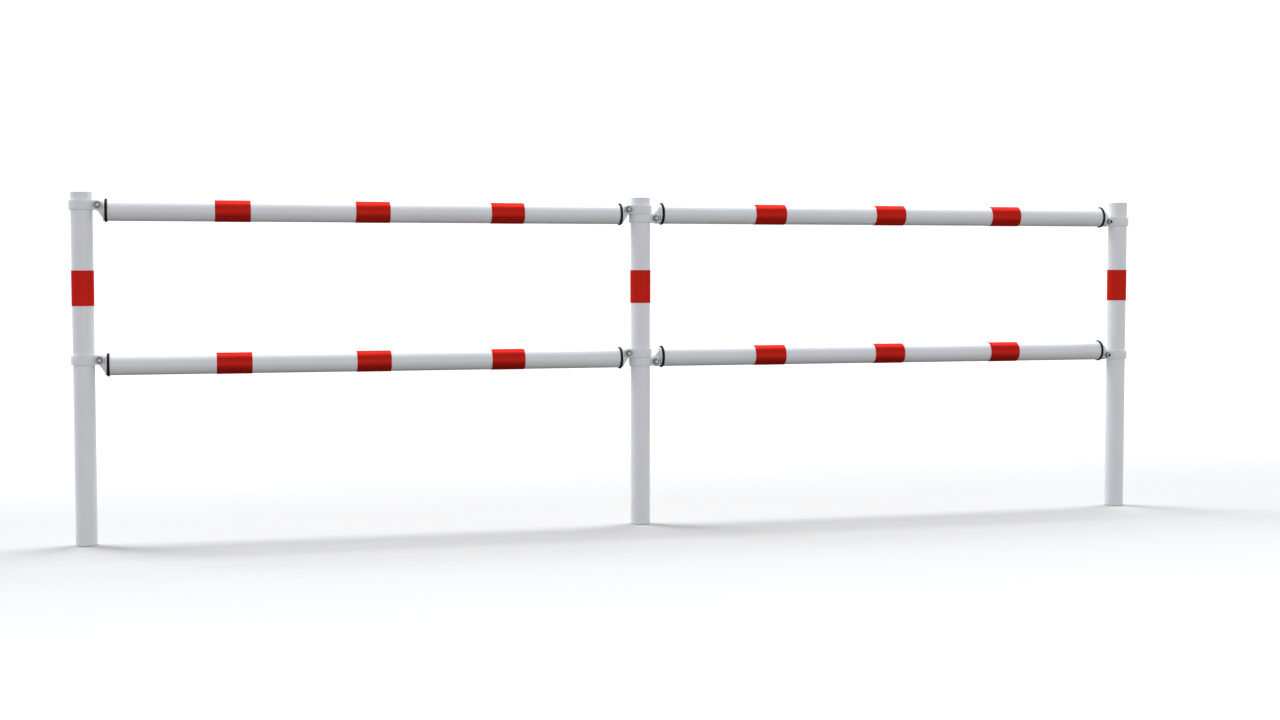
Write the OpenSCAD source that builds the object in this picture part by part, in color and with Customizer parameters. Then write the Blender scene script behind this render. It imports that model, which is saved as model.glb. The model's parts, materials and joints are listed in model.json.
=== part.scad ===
// Two-bay tubular post-and-rail barrier.
// Three round posts stand on the floor and carry four round rails. Each rail
// ends in a casting whose lug is pinned by an M10 bolt between the jaws of a
// strap clamp on the post.
// X runs along the barrier, Z is up, and -Y is the front. The origin is on the
// floor at the axis of the middle post.

/* [Barrier] */
// Height of the posts over cap and foot
post_height = 1000; // [990:10:1200]
// Distance between the axes of neighbouring posts
bay = 1629; // [1500:1:2000]
// Outside diameter of the posts and rails
tube_d = 60; // [59:0.5:61]
// Wall thickness of the posts and rails
tube_wall = 3; // [2:0.5:4]

/* [Rails] */
// Mean height of the upper rails' axes
upper_rail_z = 949.6; // [940:0.05:955]
// How much higher the right upper rail sits than the left one
upper_step = 2.2; // [0:0.1:2.2]
// Mean height of the lower rails' axes
lower_rail_z = 512.8; // [400:0.1:600]
// How much higher the right lower rail sits than the left one
lower_step = 2.2; // [0:0.1:2.2]

/* [Red bands] */
// Width of a red band
band_w = 100; // [60:5:120]
// How far a band stands proud of its tube
band_t = 1; // [0.5:0.1:1.5]
// Distance between neighbouring bands on a rail
band_pitch = 400; // [200:10:500]
// Height of the middle of a post's band
post_band_z = 729; // [680:1:780]

/* [Clamps] */
// Height of a strap clamp
clamp_h = 25.8; // [24:0.1:26]
// Distance from the post axis to the clamp bolt
bolt_x = 43; // [42.5:0.5:44]
// Vertical distance from the rail axis to the clamp bolt
bolt_rise = 14.2; // [14.2:0.05:15]
// Outside width over a clamp's jaws
jaw_w = 46; // [44:1:48]

/* [Seals] */
// Thickness of the rubber seal ring, from its bore to its crown
seal_t = 5.9; // [5:0.1:5.9]
// Width of the seal ring along the rail
seal_w = 7.2; // [6:0.2:8]

/* [Hidden] */
$fn = 96;

tr = tube_d / 2;          // outside radius of the tubes
bore_r = tr - tube_wall;  // inside radius of the tubes
cap_t = 3;                // rim of a post's cap and foot
cap_depth = 22;           // how far a cap or foot reaches into its tube
strap_in = tr + 0.05;     // a clamp's running fit on the post
strap_out = tr + 5;       // outside of a clamp's ring
jaw_out = jaw_w / 2;
jaw_in = jaw_out - (strap_out - strap_in);
lug_w = 2 * (jaw_in - 0.3);
leave = 64;               // angle at which the jaws leave the ring
flange_x = bolt_x + 15;   // face of the casting's flange
flange_t = 4.4;
seal_x = flange_x + flange_t;  // the seal's near face
tube_x = seal_x + seal_w + 0.1; // end of the rail tube
plug_l = 42;              // casting's plug inside the rail tube
bolt_r = 5;
pin_fit = 0.06;           // clearance of the bolt in the lug
washer_t = 2;
head_h = 10;
nut_h = 8.4;
bolt_l = 60;

upper_left_z = upper_rail_z - upper_step / 2;
upper_right_z = upper_rail_z + upper_step / 2;
lower_left_z = lower_rail_z - lower_step / 2;
lower_right_z = lower_rail_z + lower_step / 2;

white = [0.86, 0.87, 0.89];
red = [0.74, 0.12, 0.08];
rubber = [0.06, 0.06, 0.06];
zinc = [0.55, 0.56, 0.58];

// Point where a line from p touches the circle of radius r about c; side is
// +1 or -1 for the line that passes to the left or the right of the centre.
function touch(p, c, r, side) =
    let (v = c - p, d = norm(v), a = atan2(v[1], v[0]), k = asin(r / d) * side)
    p + sqrt(d * d - r * r) * [cos(a + k), sin(a + k)];

// ---- posts ------------------------------------------------------------

// Tube between cap and foot
module tube_upright(x) {
    color(white) translate([x, 0, cap_t]) difference() {
        cylinder(h = post_height - 2 * cap_t, r = tr);
        translate([0, 0, -1]) cylinder(h = post_height, r = bore_r);
    }
}

// Closing cap: a rim with a rounded edge, flush with the tube, and a hollow
// skirt that is a push fit in the bore
module closing_cap() {
    rim = 2.2;
    rotate_extrude() {
        difference() {
            union() {
                square([tr - rim, cap_t]);
                square([tr, cap_t - rim]);
                translate([tr - rim, cap_t - rim]) circle(r = rim);
            }
            translate([0, -rim * 2]) square([tr, rim * 2]);
            translate([-rim * 2, -rim * 2]) square([rim * 2, cap_t + rim * 4]);
        }
        translate([0, -2]) square([bore_r - 0.05, 2.01]);
        translate([bore_r - 2.5, -cap_depth]) square([2.45, cap_depth]);
    }
}

module cap_upright(x) {
    color(white) translate([x, 0, post_height - cap_t]) closing_cap();
}

module foot_upright(x) {
    color(white) translate([x, 0, cap_t]) mirror([0, 0, 1]) closing_cap();
}

// Wrapped band with softened edges
module band_ring() {
    soft = band_t * 0.45;
    rotate_extrude() difference() {
        union() {
            translate([tr, -band_w / 2 + soft]) square([band_t, band_w - 2 * soft]);
            translate([tr, -band_w / 2]) square([band_t - soft, band_w]);
            for (s = [-1, 1]) translate([tr + band_t - soft, s * (band_w / 2 - soft)]) circle(r = soft, $fn = 32);
        }
        translate([tr - 3, -band_w]) square([3, 2 * band_w]);
    }
}

module band_upright(x) {
    color(red) translate([x, 0, post_band_z]) band_ring();
}

// ---- clamps -----------------------------------------------------------

// Block in the shape of a keyhole seen from above: a round of radius r that
// narrows to a throat half wide each way, which ends at x_end
module keyhole(r, half, x_end, h) {
    start = (r - 0.15) * [cos(leave + 6), sin(leave + 6)];
    bend = [(r - half * sin(leave)) / cos(leave), half];
    cylinder(h = h, r = r, center = true);
    linear_extrude(h, center = true) polygon([
        start, bend, [x_end, half], [x_end, -half],
        [bend[0], -bend[1]], [start[0], -start[1]]
    ]);
}

// Strap bent round the post, with both jaws on +X, centred on z = 0
module strap() {
    color(white) difference() {
        intersection() {
            keyhole(strap_out, jaw_out, bolt_x + clamp_h, clamp_h);
            union() {
                translate([-2 * tube_d, -tube_d, -clamp_h / 2]) cube([2 * tube_d + bolt_x, 2 * tube_d, clamp_h]);
                translate([bolt_x, 0, 0]) rotate([90, 0, 0]) cylinder(h = 2 * tube_d, r = clamp_h / 2 - 0.05, center = true);
            }
        }
        keyhole(strap_in, jaw_in, bolt_x + clamp_h + 10, clamp_h + 2);
        translate([bolt_x, 0, 0]) rotate([90, 0, 0]) cylinder(h = 3 * tube_d, r = bolt_r + 0.25, center = true);
    }
}

// side = +1 puts the jaws on +X, -1 on -X
module strap_on_post(x, z, side) {
    translate([x, 0, z]) mirror([side < 0 ? 1 : 0, 0, 0]) strap();
}

// ---- fasteners --------------------------------------------------------

// Everything on a bolt is drawn along +Y, with the head's seat at y = seat
seat = jaw_out + washer_t;

// M10 socket-head bolt with its head towards -Y
module bolt_y() {
    hex = 8 / 2 / cos(30);
    color(zinc) rotate([-90, 0, 0]) difference() {
        rotate_extrude() polygon([
            [0, -seat - head_h], [7, -seat - head_h], [8, -seat - head_h + 1], [8, -seat],
            [bolt_r, -seat], [bolt_r, -seat + bolt_l - 1], [bolt_r - 1, -seat + bolt_l], [0, -seat + bolt_l]
        ]);
        translate([0, 0, -seat - head_h - 1]) cylinder(h = 6, r = hex, $fn = 6);
    }
}

// M10 hexagon nut towards +Y, with its corners turned back
module nut_y(turn) {
    a = 16 / 2 / cos(30);
    color(zinc) translate([0, seat, 0]) rotate([-90, 0, 0]) difference() {
        intersection() {
            rotate([0, 0, turn]) cylinder(h = nut_h, r = a, $fn = 6);
            rotate_extrude() polygon([[0, 0], [7.7, 0], [a + 0.1, 0.85], [a + 0.1, nut_h - 0.85], [7.7, nut_h], [0, nut_h]]);
        }
        translate([0, 0, -1]) cylinder(h = nut_h + 2, r = bolt_r + 0.02);
    }
}

// Both washers of one bolt
module washers_y() {
    color(zinc) for (s = [-1, 1]) translate([0, s * (jaw_out + washer_t / 2), 0]) rotate([90, 0, 0]) difference() {
        cylinder(h = washer_t, r = 10, center = true);
        cylinder(h = washer_t + 2, r = bolt_r + 0.25, center = true);
    }
}

// The two bolt places of one post side; front = +1 turns the heads to -Y
module at_bolts(x, zs, front) {
    for (z = zs) translate([x, 0, z]) rotate([0, 0, front > 0 ? 0 : 180]) children();
}

// ---- rails ------------------------------------------------------------

// Tube of a rail between its two castings, from x0 to x1
module rail_tube(x0, x1, z) {
    color(white) translate([x0, 0, z]) rotate([0, 90, 0]) difference() {
        cylinder(h = x1 - x0, r = tr);
        translate([0, 0, -1]) cylinder(h = x1 - x0 + 2, r = bore_r);
    }
}

// Side view of the lug: a rounded nose about the bolt that spreads to the
// flange, level on the bolt's side and sloping on the other
module lug_side() {
    nose = 9.5;
    b = [bolt_x, bolt_rise];
    low = [flange_x + 0.5, -23.5];
    high = [bolt_x + 3, tr - 0.1];
    t_low = touch(low, b, nose, 1);
    t_high = touch(high, b, nose, -1);
    polygon([low, t_low, b, t_high, high, [flange_x + 0.5, tr - 0.1]]);
    translate(b) circle(r = nose);
}

// Casting at a rail's end: hollow plug, shoulder for the seal, round flange
// and lug. The post's axis is at x = 0, the rail's at z = 0, the bolt above it.
module casting() {
    edge = 1.2;
    color(white) difference() {
        union() {
            rotate([0, 90, 0]) rotate_extrude() difference() {
                union() {
                    translate([0, flange_x]) square([tr - edge, flange_t]);
                    translate([0, flange_x + edge]) square([tr, flange_t - 2 * edge]);
                    for (k = [edge, flange_t - edge]) translate([tr - edge, flange_x + k]) circle(r = edge, $fn = 48);
                    translate([0, flange_x + flange_t - 0.5]) square([bore_r + 0.5, tube_x - seal_x + 0.5]);
                    translate([0, tube_x - 0.5]) square([bore_r - 0.05, plug_l + 0.5]);
                }
                translate([-1, flange_x + flange_t + 5]) square([bore_r - 4, plug_l + 10]);
            }
            intersection() {
                translate([tr, 0, 0]) rotate([0, 90, 0]) cylinder(h = flange_x + 0.5 - tr, r = tr - 0.1);
                rotate([90, 0, 0]) linear_extrude(lug_w, center = true) lug_side();
            }
        }
        translate([bolt_x, 0, bolt_rise]) rotate([90, 0, 0]) cylinder(h = 2 * tube_d, r = bolt_r + pin_fit, center = true);
    }
}

// side = +1 for a casting whose rail runs to +X; up = +1 with the bolt above
module casting_at(x, z, side, up) {
    translate([x, 0, z]) mirror([side < 0 ? 1 : 0, 0, 0]) mirror([0, 0, up < 0 ? 1 : 0]) casting();
}

// Seal ring with flat sides and a crowned outside, centred on its width
module seal_ring() {
    crown = 4.6;
    rotate_extrude() intersection() {
        translate([bore_r + 0.55, -seal_w / 2]) square([seal_t, seal_w]);
        translate([bore_r + 0.55 + seal_t - crown, 0]) circle(r = crown);
    }
}

// Both seal rings of the rail between the posts at x0 and x1
module seal_pair(x0, x1, z) {
    gap = seal_x + 0.05 + seal_w / 2;
    color(rubber) for (x = [x0 + gap, x1 - gap]) translate([x, 0, z]) rotate([0, 90, 0]) seal_ring();
}

// The three red bands of one rail
module rail_bands(xm, z) {
    color(red) for (k = [-1, 0, 1]) translate([xm + k * band_pitch, 0, z]) rotate([0, 90, 0]) band_ring();
}

// ---- sub-parts --------------------------------------------------------

module middle_post_tube() { tube_upright(0); }
module middle_post_cap() { cap_upright(0); }
module middle_post_foot() { foot_upright(0); }
module middle_post_band() { band_upright(0); }
module left_post_tube() { tube_upright(-bay); }
module left_post_cap() { cap_upright(-bay); }
module left_post_foot() { foot_upright(-bay); }
module left_post_band() { band_upright(-bay); }
module right_post_tube() { tube_upright(bay); }
module right_post_cap() { cap_upright(bay); }
module right_post_foot() { foot_upright(bay); }
module right_post_band() { band_upright(bay); }
module middle_left_upper_clamp() { strap_on_post(0, upper_left_z + bolt_rise, -1); }
module middle_left_lower_clamp() { strap_on_post(0, lower_left_z + bolt_rise, -1); }
module middle_left_bolts() { at_bolts(-bolt_x, [upper_left_z + bolt_rise, lower_left_z + bolt_rise], -1) bolt_y(); }
module middle_left_nuts() { at_bolts(-bolt_x, [upper_left_z + bolt_rise, lower_left_z + bolt_rise], -1) nut_y(12); }
module middle_left_washers() { at_bolts(-bolt_x, [upper_left_z + bolt_rise, lower_left_z + bolt_rise], -1) washers_y(); }
module middle_right_upper_clamp() { strap_on_post(0, upper_right_z - bolt_rise, 1); }
module middle_right_lower_clamp() { strap_on_post(0, lower_right_z - bolt_rise, 1); }
module middle_right_bolts() { at_bolts(bolt_x, [upper_right_z - bolt_rise, lower_right_z - bolt_rise], -1) bolt_y(); }
module middle_right_nuts() { at_bolts(bolt_x, [upper_right_z - bolt_rise, lower_right_z - bolt_rise], -1) nut_y(26); }
module middle_right_washers() { at_bolts(bolt_x, [upper_right_z - bolt_rise, lower_right_z - bolt_rise], -1) washers_y(); }
module left_upper_clamp() { strap_on_post(-bay, upper_left_z + bolt_rise, 1); }
module left_lower_clamp() { strap_on_post(-bay, lower_left_z + bolt_rise, 1); }
module left_bolts() { at_bolts(-bay + bolt_x, [upper_left_z + bolt_rise, lower_left_z + bolt_rise], -1) bolt_y(); }
module left_nuts() { at_bolts(-bay + bolt_x, [upper_left_z + bolt_rise, lower_left_z + bolt_rise], -1) nut_y(0); }
module left_washers() { at_bolts(-bay + bolt_x, [upper_left_z + bolt_rise, lower_left_z + bolt_rise], -1) washers_y(); }
module right_upper_clamp() { strap_on_post(bay, upper_right_z - bolt_rise, -1); }
module right_lower_clamp() { strap_on_post(bay, lower_right_z - bolt_rise, -1); }
module right_bolts() { at_bolts(bay - bolt_x, [upper_right_z - bolt_rise, lower_right_z - bolt_rise], 1) bolt_y(); }
module right_nuts() { at_bolts(bay - bolt_x, [upper_right_z - bolt_rise, lower_right_z - bolt_rise], 1) nut_y(18); }
module right_washers() { at_bolts(bay - bolt_x, [upper_right_z - bolt_rise, lower_right_z - bolt_rise], 1) washers_y(); }
module left_upper_rail_tube() { rail_tube(-bay + tube_x, -tube_x, upper_left_z); }
module left_upper_rail_outer_end() { casting_at(-bay, upper_left_z, 1, 1); }
module left_upper_rail_inner_end() { casting_at(0, upper_left_z, -1, 1); }
module left_upper_rail_seals() { seal_pair(-bay, 0, upper_left_z); }
module left_upper_rail_bands() { rail_bands(-bay / 2, upper_left_z); }
module left_lower_rail_tube() { rail_tube(-bay + tube_x, -tube_x, lower_left_z); }
module left_lower_rail_outer_end() { casting_at(-bay, lower_left_z, 1, 1); }
module left_lower_rail_inner_end() { casting_at(0, lower_left_z, -1, 1); }
module left_lower_rail_seals() { seal_pair(-bay, 0, lower_left_z); }
module left_lower_rail_bands() { rail_bands(-bay / 2, lower_left_z); }
module right_upper_rail_tube() { rail_tube(tube_x, bay - tube_x, upper_right_z); }
module right_upper_rail_outer_end() { casting_at(bay, upper_right_z, -1, -1); }
module right_upper_rail_inner_end() { casting_at(0, upper_right_z, 1, -1); }
module right_upper_rail_seals() { seal_pair(0, bay, upper_right_z); }
module right_upper_rail_bands() { rail_bands(bay / 2, upper_right_z); }
module right_lower_rail_tube() { rail_tube(tube_x, bay - tube_x, lower_right_z); }
module right_lower_rail_outer_end() { casting_at(bay, lower_right_z, -1, -1); }
module right_lower_rail_inner_end() { casting_at(0, lower_right_z, 1, -1); }
module right_lower_rail_seals() { seal_pair(0, bay, lower_right_z); }
module right_lower_rail_bands() { rail_bands(bay / 2, lower_right_z); }

middle_post_tube();
middle_post_cap();
middle_post_foot();
middle_post_band();
left_post_tube();
left_post_cap();
left_post_foot();
left_post_band();
right_post_tube();
right_post_cap();
right_post_foot();
right_post_band();
middle_left_upper_clamp();
middle_left_lower_clamp();
middle_left_bolts();
middle_left_nuts();
middle_left_washers();
middle_right_upper_clamp();
middle_right_lower_clamp();
middle_right_bolts();
middle_right_nuts();
middle_right_washers();
left_upper_clamp();
left_lower_clamp();
left_bolts();
left_nuts();
left_washers();
right_upper_clamp();
right_lower_clamp();
right_bolts();
right_nuts();
right_washers();
left_upper_rail_tube();
left_upper_rail_outer_end();
left_upper_rail_inner_end();
left_upper_rail_seals();
left_upper_rail_bands();
left_lower_rail_tube();
left_lower_rail_outer_end();
left_lower_rail_inner_end();
left_lower_rail_seals();
left_lower_rail_bands();
right_upper_rail_tube();
right_upper_rail_outer_end();
right_upper_rail_inner_end();
right_upper_rail_seals();
right_upper_rail_bands();
right_lower_rail_tube();
right_lower_rail_outer_end();
right_lower_rail_inner_end();
right_lower_rail_seals();
right_lower_rail_bands();
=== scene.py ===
import json
import math
import random

import bpy
from mathutils import Matrix, Vector

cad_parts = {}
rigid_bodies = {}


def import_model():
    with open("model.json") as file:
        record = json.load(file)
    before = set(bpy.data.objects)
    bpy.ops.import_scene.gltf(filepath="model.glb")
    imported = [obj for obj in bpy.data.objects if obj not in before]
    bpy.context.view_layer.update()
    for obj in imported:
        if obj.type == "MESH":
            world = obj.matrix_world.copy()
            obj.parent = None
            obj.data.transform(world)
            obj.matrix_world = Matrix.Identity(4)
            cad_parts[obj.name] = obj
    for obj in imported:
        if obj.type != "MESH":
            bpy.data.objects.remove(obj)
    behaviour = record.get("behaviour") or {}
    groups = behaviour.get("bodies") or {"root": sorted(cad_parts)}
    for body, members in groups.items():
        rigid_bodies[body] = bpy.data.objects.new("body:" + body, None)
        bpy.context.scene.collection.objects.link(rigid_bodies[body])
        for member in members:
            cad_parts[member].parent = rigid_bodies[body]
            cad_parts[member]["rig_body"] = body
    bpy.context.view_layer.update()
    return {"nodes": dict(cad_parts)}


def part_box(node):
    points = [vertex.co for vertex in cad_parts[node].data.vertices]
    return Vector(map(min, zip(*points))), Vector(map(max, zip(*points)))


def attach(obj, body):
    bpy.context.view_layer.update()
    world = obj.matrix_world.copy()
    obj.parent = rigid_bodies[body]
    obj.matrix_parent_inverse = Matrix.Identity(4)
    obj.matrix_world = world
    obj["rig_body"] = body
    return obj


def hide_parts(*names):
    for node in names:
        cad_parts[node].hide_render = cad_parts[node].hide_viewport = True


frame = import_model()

nodes = frame["nodes"]
scene = bpy.context.scene
random.seed(7)

MM = 0.001
TAU = 2 * math.pi


# ------------------------------------------------------------------ helpers
def body_of_node(name):
    return nodes[name]["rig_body"]


def mesh_object(name, verts, faces, mat, sharp=32.0):
    """An object from vertices in millimetres, smooth with sharp edges kept."""
    me = bpy.data.meshes.new(name)
    me.from_pydata([(x * MM, y * MM, z * MM) for x, y, z in verts], [], faces)
    me.validate()
    me.update()
    for p in me.polygons:
        p.use_smooth = True
    me.set_sharp_from_angle(angle=math.radians(sharp))
    ob = bpy.data.objects.new(name, me)
    scene.collection.objects.link(ob)
    me.materials.append(mat)
    return ob


def lathe(rows, seg, closed):
    """Vertices and faces of rows turned about +Z. A row is (radius or function of the angle, z).
    A radius of 0 is a pole. closed joins the last row to the first."""
    verts, faces, rings = [], [], []
    for r, z in rows:
        if not callable(r) and r <= 1e-9:
            rings.append([len(verts)])
            verts.append((0.0, 0.0, z))
            continue
        ring = []
        for j in range(seg):
            a = TAU * j / seg
            rr = r(a) if callable(r) else r
            zz = z(a) if callable(z) else z
            ring.append(len(verts))
            verts.append((rr * math.cos(a), rr * math.sin(a), zz))
        rings.append(ring)
    pairs = list(zip(rings, rings[1:]))
    if closed:
        pairs.append((rings[-1], rings[0]))
    for a, b in pairs:
        if len(a) == 1 and len(b) == 1:
            continue
        for j in range(seg):
            k = (j + 1) % seg
            if len(a) == 1:
                faces.append((a[0], b[k], b[j]))
            elif len(b) == 1:
                faces.append((a[j], a[k], b[0]))
            else:
                faces.append((a[j], a[k], b[k], b[j]))
    return verts, faces


def place(geo, m):
    """Geometry moved by a 4x4 matrix in millimetres; faces turn over if it mirrors."""
    verts, faces = geo
    v2 = [tuple(m @ Vector(v)) for v in verts]
    if m.to_3x3().determinant() < 0:
        faces = [tuple(reversed(f)) for f in faces]
    return v2, list(faces)


def join(parts):
    verts, faces = [], []
    for v, f in parts:
        n = len(verts)
        verts += v
        faces += [tuple(i + n for i in face) for face in f]
    return verts, faces


def outward(geo):
    """Turns all faces over if the closed mesh's volume is negative."""
    verts, faces = geo
    vol = 0.0
    for f in faces:
        a = Vector(verts[f[0]])
        for i in range(1, len(f) - 1):
            vol += a.dot(Vector(verts[f[i]]).cross(Vector(verts[f[i + 1]])))
    if vol < 0:
        faces = [tuple(reversed(f)) for f in faces]
    return verts, faces


def arc(cx, cy, r, a0, a1, n):
    return [(cx + r * math.cos(math.radians(a0 + (a1 - a0) * i / n)), cy + r * math.sin(math.radians(a0 + (a1 - a0) * i / n))) for i in range(n + 1)]


AX_Y = Matrix.Rotation(math.radians(-90), 4, "X")   # +Z to +Y
AX_X = Matrix.Rotation(math.radians(90), 4, "Y")    # +Z to +X


def stand_in(name, node, geo, mat, sharp=32.0):
    ob = mesh_object(name, geo[0], geo[1], mat, sharp)
    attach(ob, body_of_node(node))
    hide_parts(node)
    return ob


# ------------------------------------------------------------------ materials
def new_mat(name):
    m = bpy.data.materials.new(name)
    m.use_nodes = True
    nt = m.node_tree
    nt.nodes.clear()
    out = nt.nodes.new("ShaderNodeOutputMaterial")
    b = nt.nodes.new("ShaderNodeBsdfPrincipled")
    nt.links.new(b.outputs[0], out.inputs[0])
    tc = nt.nodes.new("ShaderNodeTexCoord")
    return m, nt, b, tc.outputs["Object"]


def noise(nt, co, scale, detail=3.0, rough=0.55, stretch=None):
    n = nt.nodes.new("ShaderNodeTexNoise")
    n.inputs["Scale"].default_value = scale
    n.inputs["Detail"].default_value = detail
    n.inputs["Roughness"].default_value = rough
    if stretch:
        mp = nt.nodes.new("ShaderNodeMapping")
        mp.inputs["Scale"].default_value = stretch
        nt.links.new(co, mp.inputs["Vector"])
        co = mp.outputs["Vector"]
    nt.links.new(co, n.inputs["Vector"])
    return n.outputs["Fac"]


def ramp(nt, fac, stops):
    r = nt.nodes.new("ShaderNodeValToRGB")
    e = r.color_ramp.elements
    while len(e) < len(stops):
        e.new(0.5)
    for el, (p, c) in zip(e, stops):
        el.position = p
        el.color = (c, c, c, 1.0) if isinstance(c, float) else (*c, 1.0)
    nt.links.new(fac, r.inputs["Fac"])
    return r.outputs["Color"]


def mapr(nt, fac, a, b, lo=0.0, hi=1.0):
    m = nt.nodes.new("ShaderNodeMapRange")
    m.inputs["From Min"].default_value = lo
    m.inputs["From Max"].default_value = hi
    m.inputs["To Min"].default_value = a
    m.inputs["To Max"].default_value = b
    nt.links.new(fac, m.inputs["Value"])
    return m.outputs["Result"]


def mix(nt, fac, a, b, mode="MIX"):
    m = nt.nodes.new("ShaderNodeMix")
    m.data_type = "RGBA"
    m.blend_type = mode
    for sock, v in ((m.inputs["Factor"], fac), (m.inputs[6], a), (m.inputs[7], b)):
        if hasattr(v, "links"):
            nt.links.new(v, sock)
        elif isinstance(v, (int, float)):
            sock.default_value = v
        else:
            sock.default_value = (*v, 1.0)
    return m.outputs[2]


def add(nt, a, b, op="ADD"):
    m = nt.nodes.new("ShaderNodeMath")
    m.operation = op
    for sock, v in zip(m.inputs, (a, b)):
        if hasattr(v, "links"):
            nt.links.new(v, sock)
        else:
            sock.default_value = v
    return m.outputs[0]


def bump(nt, bsdf, height, strength, distance):
    b = nt.nodes.new("ShaderNodeBump")
    b.inputs["Strength"].default_value = strength
    b.inputs["Distance"].default_value = distance
    nt.links.new(height, b.inputs["Height"])
    nt.links.new(b.outputs["Normal"], bsdf.inputs["Normal"])
    return b


def edges(nt, lo, hi):
    """1 along outer edges, from the mesh's own curvature."""
    g = nt.nodes.new("ShaderNodeNewGeometry")
    return mapr(nt, g.outputs["Pointiness"], 0.0, 1.0, lo, hi)


def powder_coat(name, base, grain=1.0, cast=0.0, height_dust=True):
    """Satin polyester powder coat: orange peel, faint clouding, a little grime
    near the ground and lightly burnished edges."""
    m, nt, b, co = new_mat(name)
    cloud = noise(nt, co, 9.0, 4.0)
    mottle = noise(nt, co, 160.0, 3.0)
    speck = noise(nt, co, 700.0, 1.0)
    tone = [c * 0.955 for c in base]
    col = mix(nt, mapr(nt, cloud, 0.0, 1.0, 0.35, 0.65), tone, base)
    col = mix(nt, mapr(nt, mottle, 0.0, 0.16, 0.45, 0.75), col, [c * 0.93 for c in base])
    col = mix(nt, mapr(nt, speck, 0.0, 0.22, 0.70, 0.80), col, [c * 0.72 for c in base])
    if height_dust:
        sep = nt.nodes.new("ShaderNodeSeparateXYZ")
        nt.links.new(co, sep.inputs[0])
        low = mapr(nt, sep.outputs["Z"], 1.0, 0.0, 0.0, 0.16)
        splash = mapr(nt, noise(nt, co, 55.0, 5.0, 0.65), 0.0, 1.0, 0.42, 0.72)
        grime = add(nt, add(nt, low, splash, "MULTIPLY"), 0.30, "MULTIPLY")
        col = mix(nt, grime, col, [0.36, 0.34, 0.31])
    edge = edges(nt, 0.515, 0.56)
    col = mix(nt, add(nt, edge, 0.35, "MULTIPLY"), col, [min(1.0, c * 1.06) for c in base])
    nt.links.new(col, b.inputs["Base Color"])
    rough = add(nt, mapr(nt, cloud, 0.30, 0.38), mapr(nt, mottle, -0.03, 0.05))
    scuff = mapr(nt, noise(nt, co, 60.0, 2.0, 0.5, (1.0, 1.0, 1.0)), 0.0, 0.10, 0.60, 0.75)
    nt.links.new(add(nt, rough, scuff), b.inputs["Roughness"])
    peel = add(nt, add(nt, noise(nt, co, 420.0 * grain, 1.5), 0.75, "MULTIPLY"),
               add(nt, noise(nt, co, 1300.0 * grain, 1.0), 0.25, "MULTIPLY"))
    if cast:
        peel = add(nt, peel, add(nt, noise(nt, co, 240.0, 5.0, 0.7), cast, "MULTIPLY"))
    bump(nt, b, peel, 0.45, 0.00016)
    b.inputs["IOR"].default_value = 1.5
    b.inputs["Specular IOR Level"].default_value = 0.42
    b.inputs["Coat Weight"].default_value = 0.10
    b.inputs["Coat Roughness"].default_value = 0.16
    return m


def reflective_red(name):
    """Beaded reflective sheeting under a clear film."""
    m, nt, b, co = new_mat(name)
    beads = nt.nodes.new("ShaderNodeTexVoronoi")
    beads.inputs["Scale"].default_value = 1500.0
    nt.links.new(co, beads.inputs["Vector"])
    fine = mapr(nt, beads.outputs["Distance"], 0.0, 1.0, 0.05, 0.6)
    cloud = noise(nt, co, 14.0, 4.0)
    col = mix(nt, fine, RED_LIGHT, RED_DARK)
    col = mix(nt, mapr(nt, cloud, 0.0, 0.35, 0.35, 0.7), col, [c * 0.85 for c in RED_DARK])
    nt.links.new(col, b.inputs["Base Color"])
    nt.links.new(mapr(nt, noise(nt, co, 90.0, 4.0), 0.38, 0.52), b.inputs["Roughness"])
    h = add(nt, add(nt, fine, 0.35, "MULTIPLY"), add(nt, noise(nt, co, 110.0, 3.0), 0.9, "MULTIPLY"))
    bump(nt, b, h, 0.25, 0.00008)
    b.inputs["IOR"].default_value = 1.5
    b.inputs["Specular IOR Level"].default_value = 0.05
    b.inputs["Specular Tint"].default_value = (1.0, 0.14, 0.11, 1.0)
    b.inputs["Metallic"].default_value = 0.5
    b.inputs["Sheen Weight"].default_value = 0.2
    b.inputs["Sheen Roughness"].default_value = 0.35
    b.inputs["Sheen Tint"].default_value = (1.0, 0.055, 0.035, 1.0)
    return m


def zinc(name, base, rough=0.36):
    """Zinc-plated steel, slightly dulled, with crystalline mottling and bright edges."""
    m, nt, b, co = new_mat(name)
    v = nt.nodes.new("ShaderNodeTexVoronoi")
    v.inputs["Scale"].default_value = 900.0
    nt.links.new(co, v.inputs["Vector"])
    flake = mapr(nt, v.outputs["Distance"], 0.0, 1.0, 0.0, 0.7)
    cloud = noise(nt, co, 320.0, 4.0)
    col = mix(nt, flake, [c * 0.86 for c in base], base)
    col = mix(nt, mapr(nt, cloud, 0.0, 0.55, 0.4, 0.75), col, [c * 0.55 for c in base])
    edge = edges(nt, 0.52, 0.60)
    col = mix(nt, add(nt, edge, 0.5, "MULTIPLY"), col, [min(1.0, c * 1.5) for c in base])
    nt.links.new(col, b.inputs["Base Color"])
    b.inputs["Metallic"].default_value = 1.0
    nt.links.new(mapr(nt, cloud, rough - 0.08, rough + 0.14), b.inputs["Roughness"])
    bump(nt, b, add(nt, noise(nt, co, 1500.0, 3.0), add(nt, flake, 0.2, "MULTIPLY")), 0.35, 0.00006)
    return m


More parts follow.
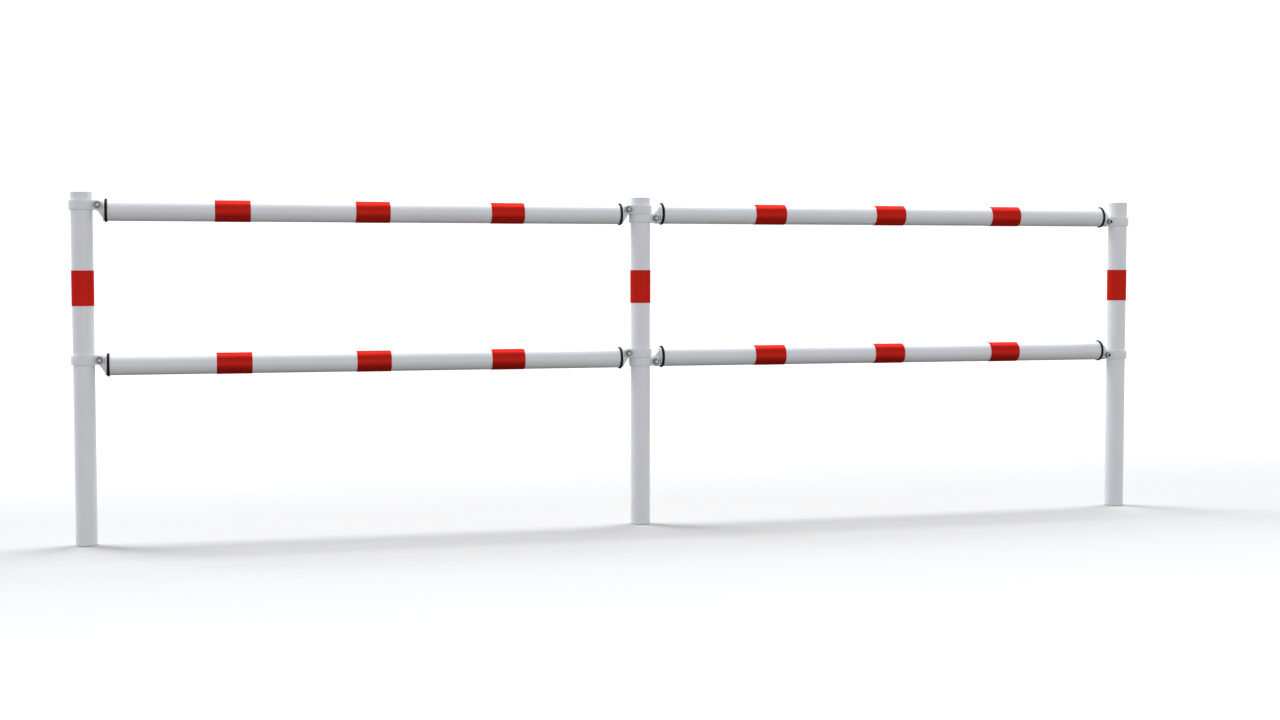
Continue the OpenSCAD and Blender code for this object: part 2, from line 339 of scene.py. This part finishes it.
def rubber(name):
    """Moulded black rubber with a dusty bloom."""
    m, nt, b, co = new_mat(name)
    cloud = noise(nt, co, 130.0, 4.0)
    col = mix(nt, mapr(nt, cloud, 0.0, 1.0, 0.35, 0.7), [0.0035, 0.0035, 0.004], [0.009, 0.009, 0.009])
    nt.links.new(col, b.inputs["Base Color"])
    nt.links.new(mapr(nt, noise(nt, co, 600.0, 3.0), 0.48, 0.66), b.inputs["Roughness"])
    bump(nt, b, noise(nt, co, 1100.0, 3.0), 0.4, 0.0001)
    b.inputs["Specular IOR Level"].default_value = 0.16
    return m


WHITE = (0.835, 0.837, 0.840)
RED_LIGHT = (0.66, 0.0245, 0.0155)
RED_DARK = (0.585, 0.0195, 0.012)

M_TUBE = powder_coat("white_powder_tube", WHITE)
M_CLAMP = powder_coat("white_powder_clamp", tuple(c * 0.985 for c in WHITE), 1.15)
M_CAST = powder_coat("white_powder_casting", WHITE, 1.0, cast=0.9)
M_CAP = powder_coat("white_cap", tuple(c * 1.0 for c in WHITE), 1.6)
M_RED = reflective_red("red_reflective_sheeting")
M_ZINC = zinc("zinc_bolt", (0.46, 0.46, 0.455), 0.26)
M_NUT = zinc("zinc_nut", (0.22, 0.22, 0.217), 0.28)
M_WASHER = zinc("zinc_washer", (0.33, 0.33, 0.327), 0.32)
M_RUBBER = rubber("seal_rubber")
# painted shade: a near-black copy of the zinc for the inside of the hex sockets, standing in for the shade deep in
# the recess
M_SOCKET_SHADE = zinc("socket_painted_shade", (0.05, 0.05, 0.05), 0.45)

for name, ob in nodes.items():
    if name.endswith("_seals"):
        mat = M_RUBBER
    elif name.endswith(("_band", "_bands")):
        mat = M_RED
    elif name.endswith("_bolts"):
        mat = M_ZINC
    elif name.endswith("_nuts"):
        mat = M_NUT
    elif name.endswith("_washers"):
        mat = M_WASHER
    elif name.endswith("_clamp"):
        mat = M_CLAMP
    elif name.endswith("_end"):
        mat = M_CAST
    elif name.endswith(("_cap", "_foot")):
        mat = M_CAP
    else:
        mat = M_TUBE
    ob.data.materials.clear()
    ob.data.materials.append(mat)


# ------------------------------------------------------------------ pieces
def mid(node):
    a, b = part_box(node)
    return (a + b) / 2


# post and rail places, from the frame
POST_X = {p: mid(f"{p}_post_tube").x / MM for p in ("middle", "left", "right")}
RAIL_Z = {(s, l): mid(f"{s}_{l}_rail_tube").z / MM for s in ("left", "right") for l in ("upper", "lower")}
CLAMP_Z = {}
for n in nodes:
    if n.endswith("_clamp"):
        CLAMP_Z[n] = mid(n).z / MM


def hexagon(af, turn=0.0):
    """Radius of a regular hexagon across flats af, as a function of the angle."""
    k = math.radians(60)

    def r(a):
        t = (a - math.radians(turn)) % k - k / 2
        return af / 2 / math.cos(t)
    return r


def capped(r, limit):
    return lambda a: min(r(a), limit)


def wrap_step(a, a0, width):
    """1 inside the stretch that starts at a0 and is width long, with short ramps at its ends."""
    t = (a - a0) % TAU
    ramp_w = math.radians(1.6)
    if t > width + ramp_w:
        return 0.0
    return max(0.0, min(1.0, t / ramp_w, (width + ramp_w - t) / ramp_w))


# ---- red sleeves: sheeting wrapped once round the tube, lapped behind
def sleeve(half, lap_at):
    lap = math.radians(17)

    def out(dr):
        return lambda a: 30.98 + dr + 0.24 * wrap_step(a, lap_at, lap)
    rows = [(30.02, -half + 0.25), (30.25, -half), (out(-0.22), -half + 0.02), (out(-0.05), -half + 0.14), (out(0.0), -half + 0.42)]
    n = 12
    for i in range(1, n):
        rows.append((out(0.0), -half + 0.42 + (2 * half - 0.84) * i / n))
    rows += [(out(0.0), half - 0.42), (out(-0.05), half - 0.14), (out(-0.22), half - 0.02), (30.25, half), (30.02, half - 0.25)]
    return outward(lathe(rows, 192, True))


def sleeves(node):
    """All sleeves of one node, each where the node has its band."""
    a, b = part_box(node)
    size = b - a
    geos = []
    if size.z > size.x:
        c = (a + b) / 2 / MM
        geos.append(place(sleeve(size.z / MM / 2, math.radians(74)), Matrix.Translation(c)))
    else:
        length = size.x / MM
        w = 100.0
        pitch = (length - w) / 2
        c = (a + b) / 2 / MM
        # the lap lies behind and below, at +Y
        for k, lap in ((-1, 96), (0, 88), (1, 101)):
            m = Matrix.Translation(c + Vector((k * pitch, 0, 0))) @ AX_X
            geos.append(place(sleeve(w / 2, math.radians(lap)), m))
    return join(geos)


for n in nodes:
    if n.endswith(("_band", "_bands")):
        stand_in(n + "_sheeting", n, sleeves(n), M_RED, 30.0)


# ---- seals: crowned rings with a parting line and a softened edge
def seal(width, r_in, r_out):
    h = width / 2
    crown = 4.6
    rows = [(r_in, -h + 0.5), (r_in + 0.3, -h + 0.1), (r_in + 0.9, -h)]
    side = r_out - crown + math.sqrt(crown * crown - h * h)
    rows += [(side - 0.9, -h), (side - 0.35, -h + 0.03)]
    a0 = math.degrees(math.atan2(side - (r_out - crown), -h))
    for i in range(11):
        a = a0 + (90 - a0) * i / 10
        z = crown * math.cos(math.radians(a))
        r = r_out - crown + crown * math.sin(math.radians(a))
        if abs(z) < 0.45:
            continue
        rows.append((r - (0.18 if i == 0 else 0.0), z))
    rows += [(r_out - 0.16, -0.36), (r_out - 0.02, -0.2), (r_out, 0.0)]
    full = rows + [(r, -z) for r, z in reversed(rows[:-1])]
    return outward(lathe(full, 160, True))


for n in nodes:
    if n.endswith("_seals"):
        a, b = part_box(n)
        c = (a + b) / 2 / MM
        r_out = (b.z - a.z) / MM / 2
        w = 7.2
        x0, x1 = a.x / MM + w / 2, b.x / MM - w / 2
        geo = seal(w, 27.55, r_out)
        stand_in(n + "_moulded", n, join([place(geo, Matrix.Translation(Vector((x, c.y, c.z))) @ AX_X) for x in (x0, x1)]), M_RUBBER, 28.0)


# ---- fasteners, drawn along +Z with the bolt's head seat at z = -25
def bolt_geo(turn):
    hx = hexagon(8.0, turn)
    wide = hexagon(8.5, turn)

    def knurl(r, depth):
        return lambda a: r - depth * (0.5 - 0.5 * math.cos(45 * a)) ** 0.8
    rows = [(0.0, -29.2), (2.6, -29.9), (hx, -30.1), (hx, -34.3), (wide, -34.75), (4.98, -35.0)]
    rows += [(6.55, -35.0), (6.95, -34.93), (7.45, -34.5), (7.72, -34.15)]
    rows += [(knurl(7.86, 0.10), -34.0), (knurl(8.0, 0.32), -33.6), (knurl(8.0, 0.34), -29.5), (knurl(8.0, 0.32), -26.0), (knurl(7.9, 0.10), -25.6)]
    rows += [(7.6, -25.35), (7.25, -25.0), (5.35, -25.0), (5.02, -24.6), (5.0, -24.0), (5.0, 8.9)]

    def thread(z):
        def r(a):
            t = ((z - 1.5 * a / TAU) / 1.5) % 1.0
            v = abs(2 * t - 1)
            depth = 0.86 * max(0.0, min(1.0, (v - 0.12) / 0.76))
            fade = max(0.0, min(1.0, (z - 9.0) / 2.0))
            lead = max(0.0, z - 34.0) * 0.9
            return min(5.0 - fade * depth, 5.0 - lead)
        return r
    z = 9.0
    while z < 34.96:
        rows.append((thread(z), z))
        z += 0.19
    rows += [(3.95, 35.0), (3.0, 34.98), (0.0, 34.9)]
    return lathe(rows, 180, False)


def nut_geo(turn):
    hx = hexagon(16.0, turn)
    h = 8.4
    rows = [(4.99, 0.9), (5.55, 0.02), (5.75, 0.0), (7.55, 0.0)]
    for d in (0.0, 0.10, 0.22, 0.36, 0.52, 0.70, 0.95, 1.3):
        rows.append((capped(hx, 7.72 + d * 1.75), 0.02 + d))
    for d in (1.3, 0.95, 0.70, 0.52, 0.36, 0.22, 0.10, 0.0):
        rows.append((capped(hx, 7.72 + d * 1.75), h - 0.02 - d))
    rows += [(7.5, h), (5.75, h), (5.55, h - 0.02), (4.99, h - 0.9)]
    return outward(lathe(rows, 192, True))


def washer_geo():
    # punched: a rolled edge on the die side, a small burr edge on the other
    rows = [(5.25, 0.25), (5.4, 0.05), (5.6, 0.0), (9.25, 0.0), (9.6, 0.07), (9.88, 0.3), (10.0, 0.65), (10.0, 1.75), (9.93, 1.93), (9.75, 2.0), (5.45, 2.0), (5.28, 1.95), (5.25, 1.8)]
    return outward(lathe(rows, 96, True))


TURNS = {"left": 0, "middle_left": 12, "middle_right": 26, "right": 18}
SOCKETS = {"left": 8, "middle_left": 21, "middle_right": 3, "right": 27}
for post in TURNS:
    front = post == "right"
    zs = sorted(CLAMP_Z[f"{post}_{lev}_clamp"] for lev in ("upper", "lower"))
    bx = mid(f"{post}_bolts").x / MM
    bolts, nuts, washers = [], [], []
    for i, z in enumerate(zs):
        # front: the head looks to -Y; otherwise the nut does
        m = Matrix.Translation((bx, 0, z))
        if not front:
            m = m @ Matrix.Rotation(math.radians(180), 4, "Z")
        m = m @ AX_Y
        bolts.append(place(outward(bolt_geo(SOCKETS[post] + 17 * i)), m))
        nuts.append(place(nut_geo(TURNS[post]), m @ Matrix.Translation((0, 0, 25.0))))
        washers.append(place(washer_geo(), m @ Matrix.Translation((0, 0, 25.0)) @ Matrix.Rotation(math.pi, 4, "X")))
        washers.append(place(washer_geo(), m @ Matrix.Translation((0, 0, -25.0))))
    ob = stand_in(f"{post}_bolts_turned", f"{post}_bolts", join(bolts), M_ZINC, 26.0)
    # painted shade: the faces inside each hex socket take the near-black socket material in place of the shade that
    # falls in the recess
    ob.data.materials.append(M_SOCKET_SHADE)
    for p in ob.data.polygons:
        c = p.center / MM
        r = min(math.hypot(c.x - bx, c.z - z) for z in zs)
        if r < 4.32 and 28.5 < (-c.y if front else c.y) < 34.5:
            p.material_index = 1
    stand_in(f"{post}_nuts_turned", f"{post}_nuts", join(nuts), M_NUT, 18.0)
    stand_in(f"{post}_washers_punched", f"{post}_washers", join(washers), M_WASHER, 30.0)


# ---- clamps: a flat strap bent round the post, with jaws on +X
def strap_geo(height):
    t, r_in, y_in, bx = 4.95, 30.05, 18.05, 43.0
    round_r = height / 2 - 0.05
    leave = math.radians(64)
    # plan of the strap's middle plane, from the tip of the +Y jaw round the post
    ym = y_in + t / 2
    rm = r_in + t / 2
    bend = ((rm - ym * math.sin(leave)) / math.cos(leave), ym)
    fillet = 4.0 + t / 2
    cut = fillet * math.tan(math.radians(13))
    centre = (bend[0] + cut, ym + fillet)
    pts = []      # (x, y, nx, ny) with n pointing away from the post or the lug
    tip = bx + round_r
    for d in (0.02, 0.08, 0.2, 0.4, 0.7, 1.1, 1.7, 2.5, 3.6, 5.0, 7.0, 9.5, 12.0, 14.5, 17.0):
        if tip - d > centre[0] + 0.4:
            pts.append((tip - d, ym, 0.0, 1.0))
    for i in range(7):
        a = math.radians(-90 - 26 * i / 6)
        pts.append((centre[0] + fillet * math.cos(a), centre[1] + fillet * math.sin(a), -math.cos(a), -math.sin(a)))
    n = 76
    for i in range(n // 2 + 1):
        a = leave + (math.pi - leave) * i / (n // 2)
        pts.append((rm * math.cos(a), rm * math.sin(a), math.cos(a), math.sin(a)))
    pts += [(x, -y, nx, -ny) for x, y, nx, ny in reversed(pts[:-1])]

    edge = 0.55
    verts, faces = [], []
    m = None
    for x, y, nx, ny in pts:
        d = tip - x
        half = height / 2 if x <= bx else math.sqrt(max(0.0, round_r ** 2 - (x - bx) ** 2))
        if bx - 3 < x <= bx:
            half = height / 2 - 0.05 * (x - bx + 3) / 3
        th = t / 2
        if d < edge:
            th -= edge - math.sqrt(max(0.0, edge ** 2 - (edge - d) ** 2))
        e = min(edge, half * 0.6, th * 0.6)
        ring = []
        for sy, sz, a0 in ((1, 1, 0), (-1, 1, 90), (-1, -1, 180), (1, -1, 270)):
            for k in range(5):
                a = math.radians(a0 + 90 * k / 4)
                ring.append((sy * (th - e) + e * math.cos(a), sz * (half - e) + e * math.sin(a)))
        m = len(ring)
        for u, z in ring:
            verts.append((x + nx * u, y + ny * u, z))
    for i in range(len(pts) - 1):
        for j in range(m):
            k = (j + 1) % m
            faces.append((i * m + j, i * m + k, (i + 1) * m + k, (i + 1) * m + j))
    faces.append(tuple(reversed(range(m))))
    faces.append(tuple((len(pts) - 1) * m + j for j in range(m)))
    return outward((verts, faces))


def bore(ob, centre, r, length):
    """Cuts a round hole along Y through an object."""
    rows = [(0.0, -length), (r, -length), (r, length), (0.0, length)]
    v, f = place(outward(lathe(rows, 64, False)), Matrix.Translation(centre) @ AX_Y)
    cutter = mesh_object(ob.name + "_cut", v, f, M_CLAMP)
    md = ob.modifiers.new("bore", "BOOLEAN")
    md.operation = "DIFFERENCE"
    md.solver = "EXACT"
    md.object = cutter
    bpy.context.view_layer.update()
    dg = bpy.context.evaluated_depsgraph_get()
    me = bpy.data.meshes.new_from_object(ob.evaluated_get(dg))
    ob.modifiers.clear()
    old = ob.data
    ob.data = me
    bpy.data.meshes.remove(old)
    bpy.data.objects.remove(cutter)
    me.materials.clear()
    me.materials.append(M_CLAMP)
    for p in me.polygons:
        p.use_smooth = True
    me.set_sharp_from_angle(angle=math.radians(32))


for n in nodes:
    if n.endswith("_clamp"):
        a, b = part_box(n)
        z = (a + b).z / 2 / MM
        h = (b - a).z / MM
        flip = n.startswith(("middle_left", "right"))
        px = POST_X["middle"] if n.startswith("middle") else (POST_X["left"] if n.startswith("left") else POST_X["right"])
        m = Matrix.Translation((px, 0, z))
        if flip:
            m = m @ Matrix.Scale(-1, 4, (1, 0, 0))
        ob = stand_in(n + "_strap", n, place(strap_geo(h), m), M_CLAMP, 32.0)
        bore(ob, (px + (-43.0 if flip else 43.0), 0, z), 5.25, 30.0)


# ---- caps and feet: moulded plugs with a crowned top and ribs on the skirt
def plug_geo(rim, depth):
    def rib(r):
        return lambda a: r - 0.9 * (0.5 - 0.5 * math.cos(12 * a)) ** 6
    rows = [(0.0, rim), (8.0, rim - 0.03), (16.0, rim - 0.12), (22.0, rim - 0.24), (26.2, rim - 0.36)]
    for i in range(1, 9):
        a = math.radians(90 - 90 * i / 8)
        rows.append((27.9 + 2.1 * math.cos(a), rim - 2.45 + 2.1 * math.sin(a) - (0.0 if i else 0)))
    rows += [(30.0, 0.35), (29.85, 0.08), (29.6, 0.0), (27.2, 0.0), (rib(26.95), -0.6), (rib(26.95), -depth + 4.0), (rib(26.5), -depth + 0.6), (26.0, -depth)]
    rows += [(25.0, -depth), (24.5, -depth + 0.5), (24.5, -3.2), (23.4, -2.0), (0.0, -2.0)]
    return outward(lathe(rows, 144, False))


for n in nodes:
    if n.endswith(("_cap", "_foot")):
        a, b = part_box(n)
        c = (a + b) / 2 / MM
        if n.endswith("_cap"):
            m = Matrix.Translation((c.x, c.y, b.z / MM - 3.0))
        else:
            m = Matrix.Translation((c.x, c.y, a.z / MM + 3.0)) @ Matrix.Scale(-1, 4, (0, 0, 1))
        stand_in(n + "_moulded", n, place(plug_geo(3.0, 22.0), m), M_CAP, 32.0)


# ---- castings keep their CAD shape, with softened edges
def soften(node, width, segments, angle=35.0):
    ob = nodes[node]
    wd = ob.modifiers.new("weld", "WELD")
    wd.merge_threshold = 0.00001
    bv = ob.modifiers.new("edge", "BEVEL")
    bv.width = width * MM
    bv.segments = segments
    bv.limit_method = "ANGLE"
    bv.angle_limit = math.radians(angle)
    bv.miter_outer = "MITER_ARC"
    bv.use_clamp_overlap = True
    bv.harden_normals = True


for n in nodes:
    if n.endswith("_end"):
        soften(n, 0.9, 3)


# ------------------------------------------------------------------ floor, light, camera
def floor():
    me = bpy.data.meshes.new("floor")
    s = 60.0
    me.from_pydata([(-s, -s, 0), (s, -s, 0), (s, s, 0), (-s, s, 0)], [], [(0, 1, 2, 3)])
    ob = bpy.data.objects.new("floor", me)
    scene.collection.objects.link(ob)
    m, nt, b, co = new_mat("floor_pale")
    g = noise(nt, co, 260.0, 2.0)
    near = mix(nt, mapr(nt, g, 0.0, 1.0, 0.3, 0.7), (0.548, 0.526, 0.494), (0.602, 0.578, 0.542))
    far = mix(nt, mapr(nt, g, 0.0, 1.0, 0.3, 0.7), (0.72, 0.695, 0.655), (0.78, 0.755, 0.71))
    # painted shade: the floor colour is darker near the barrier and paler away from it, standing in for the shade
    # around the barrier
    sep = nt.nodes.new("ShaderNodeSeparateXYZ")
    nt.links.new(co, sep.inputs[0])
    away = mapr(nt, add(nt, sep.outputs["Y"], 0.0, "ABSOLUTE"), 0.0, 1.0, 0.5, 3.6)
    nt.links.new(mix(nt, away, near, far), b.inputs["Base Color"])
    b.inputs["Roughness"].default_value = 0.95
    b.inputs["Specular IOR Level"].default_value = 0.0
    me.materials.append(m)
    ob.visible_diffuse = False
    ob.visible_glossy = False
    return ob


def area(name, loc, size_x, size_y, power, target, color=(1, 1, 1)):
    li = bpy.data.lights.new(name, "AREA")
    li.shape = "RECTANGLE"
    li.size = size_x
    li.size_y = size_y
    li.energy = power
    li.color = color
    ob = bpy.data.objects.new(name, li)
    scene.collection.objects.link(ob)
    ob.location = loc
    ob.rotation_euler = (Vector(target) - Vector(loc)).to_track_quat("-Z", "Y").to_euler()
    ob.visible_camera = False
    return ob


def world():
    w = bpy.data.worlds.new("studio")
    scene.world = w
    w.use_nodes = True
    nt = w.node_tree
    nt.nodes.clear()
    out = nt.nodes.new("ShaderNodeOutputWorld")
    bg = nt.nodes.new("ShaderNodeBackground")
    nt.links.new(bg.outputs[0], out.inputs[0])
    tc = nt.nodes.new("ShaderNodeTexCoord")
    sep = nt.nodes.new("ShaderNodeSeparateXYZ")
    nt.links.new(tc.outputs["Generated"], sep.inputs[0])
    h = mapr(nt, sep.outputs["Z"], 0.0, 1.0, -1.0, 1.0)
    r = nt.nodes.new("ShaderNodeValToRGB")
    r.color_ramp.interpolation = "LINEAR"
    e = r.color_ramp.elements
    stops = WORLD
    while len(e) < len(stops):
        e.new(0.5)
    for el, (z, c) in zip(e, stops):
        el.position = (math.sin(math.radians(z)) + 1) / 2
        el.color = (*c, 1.0)
    nt.links.new(h, r.inputs["Fac"])
    # cooler on the left, neutral on the right
    side = mapr(nt, sep.outputs["X"], 0.0, 1.0, -0.9, 0.6)
    tint = mix(nt, side, (0.98, 0.995, 1.04), (1.01, 1.0, 0.985))
    # the far left and right walls of the studio are darker
    wide = add(nt, sep.outputs["X"], 0.0, "ABSOLUTE")
    walls = mix(nt, mapr(nt, wide, 0.0, 1.0, 0.62, 0.86), (1.0, 1.0, 1.0), (0.74, 0.74, 0.74))
    tint = mix(nt, 1.0, tint, walls, "MULTIPLY")
    nt.links.new(mix(nt, 1.0, r.outputs["Color"], tint, "MULTIPLY"), bg.inputs["Color"])
    bg.inputs["Strength"].default_value = 1.0


WORLD = [
    (-90, (0.10, 0.10, 0.10)),
    (-44, (0.12, 0.12, 0.12)),
    (-33, (0.21, 0.21, 0.21)),
    (-24, (0.55, 0.55, 0.55)),
    (-15, (0.99, 0.99, 0.99)),
    (-5, (1.18, 1.18, 1.18)),
    (9, (1.05, 1.055, 1.07)),
    (14, (0.92, 0.95, 1.00)),
    (24, (0.70, 0.74, 0.81)),
    (36, (0.46, 0.50, 0.56)),
    (52, (0.20, 0.215, 0.24)),
    (90, (0.12, 0.13, 0.15)),
]


def sun(name, tilt_x, tilt_y, angle, energy):
    """A soft light from above: tilted to the right by tilt_x and to the back by tilt_y degrees."""
    li = bpy.data.lights.new(name, "SUN")
    li.angle = math.radians(angle)
    li.energy = energy
    li.color = (0.95, 0.99, 1.06)
    ob = bpy.data.objects.new(name, li)
    scene.collection.objects.link(ob)
    d = Vector((math.tan(math.radians(tilt_x)), math.tan(math.radians(tilt_y)), 1.0)).normalized()
    ob.location = d * 8
    ob.rotation_euler = (-d).to_track_quat("-Z", "Y").to_euler()


world()
floor()
SUNS = [
    ("far_left", -62, 27, 34, 0.20),
    ("wide_left", -50, 34, 20, 0.28),
    ("mid_left", -35, 32, 17, 0.48),
    ("near_left", -20, 22, 19, 1.16),
    ("over", -8, 14, 15, 0.52),
    ("over_right", 8, 6, 13, 0.42),
    ("near_right", 20, 10, 17, 0.84),
    ("back_right", 20, 28, 15, 0.38),
    ("mid_right", 35, 19, 25, 0.56),
    ("wide_right", 55, 18, 28, 0.07),
]
for args in SUNS:
    sun(*args)

cam = bpy.data.cameras.new("camera")
cam.lens = 50.0
cam.sensor_width = 36.0
cam.clip_end = 200.0
cob = bpy.data.objects.new("camera", cam)
scene.collection.objects.link(cob)
cob.location = (-1.43277, -5.25096, 0.79088)
cob.rotation_euler = (math.radians(90 - 3.0206), 0.0, math.radians(-15.2517))
scene.camera = cob

scene.view_settings.view_transform = "Standard"
scene.view_settings.look = "None"
scene.view_settings.exposure = 0.0
scene.view_settings.gamma = 1.0
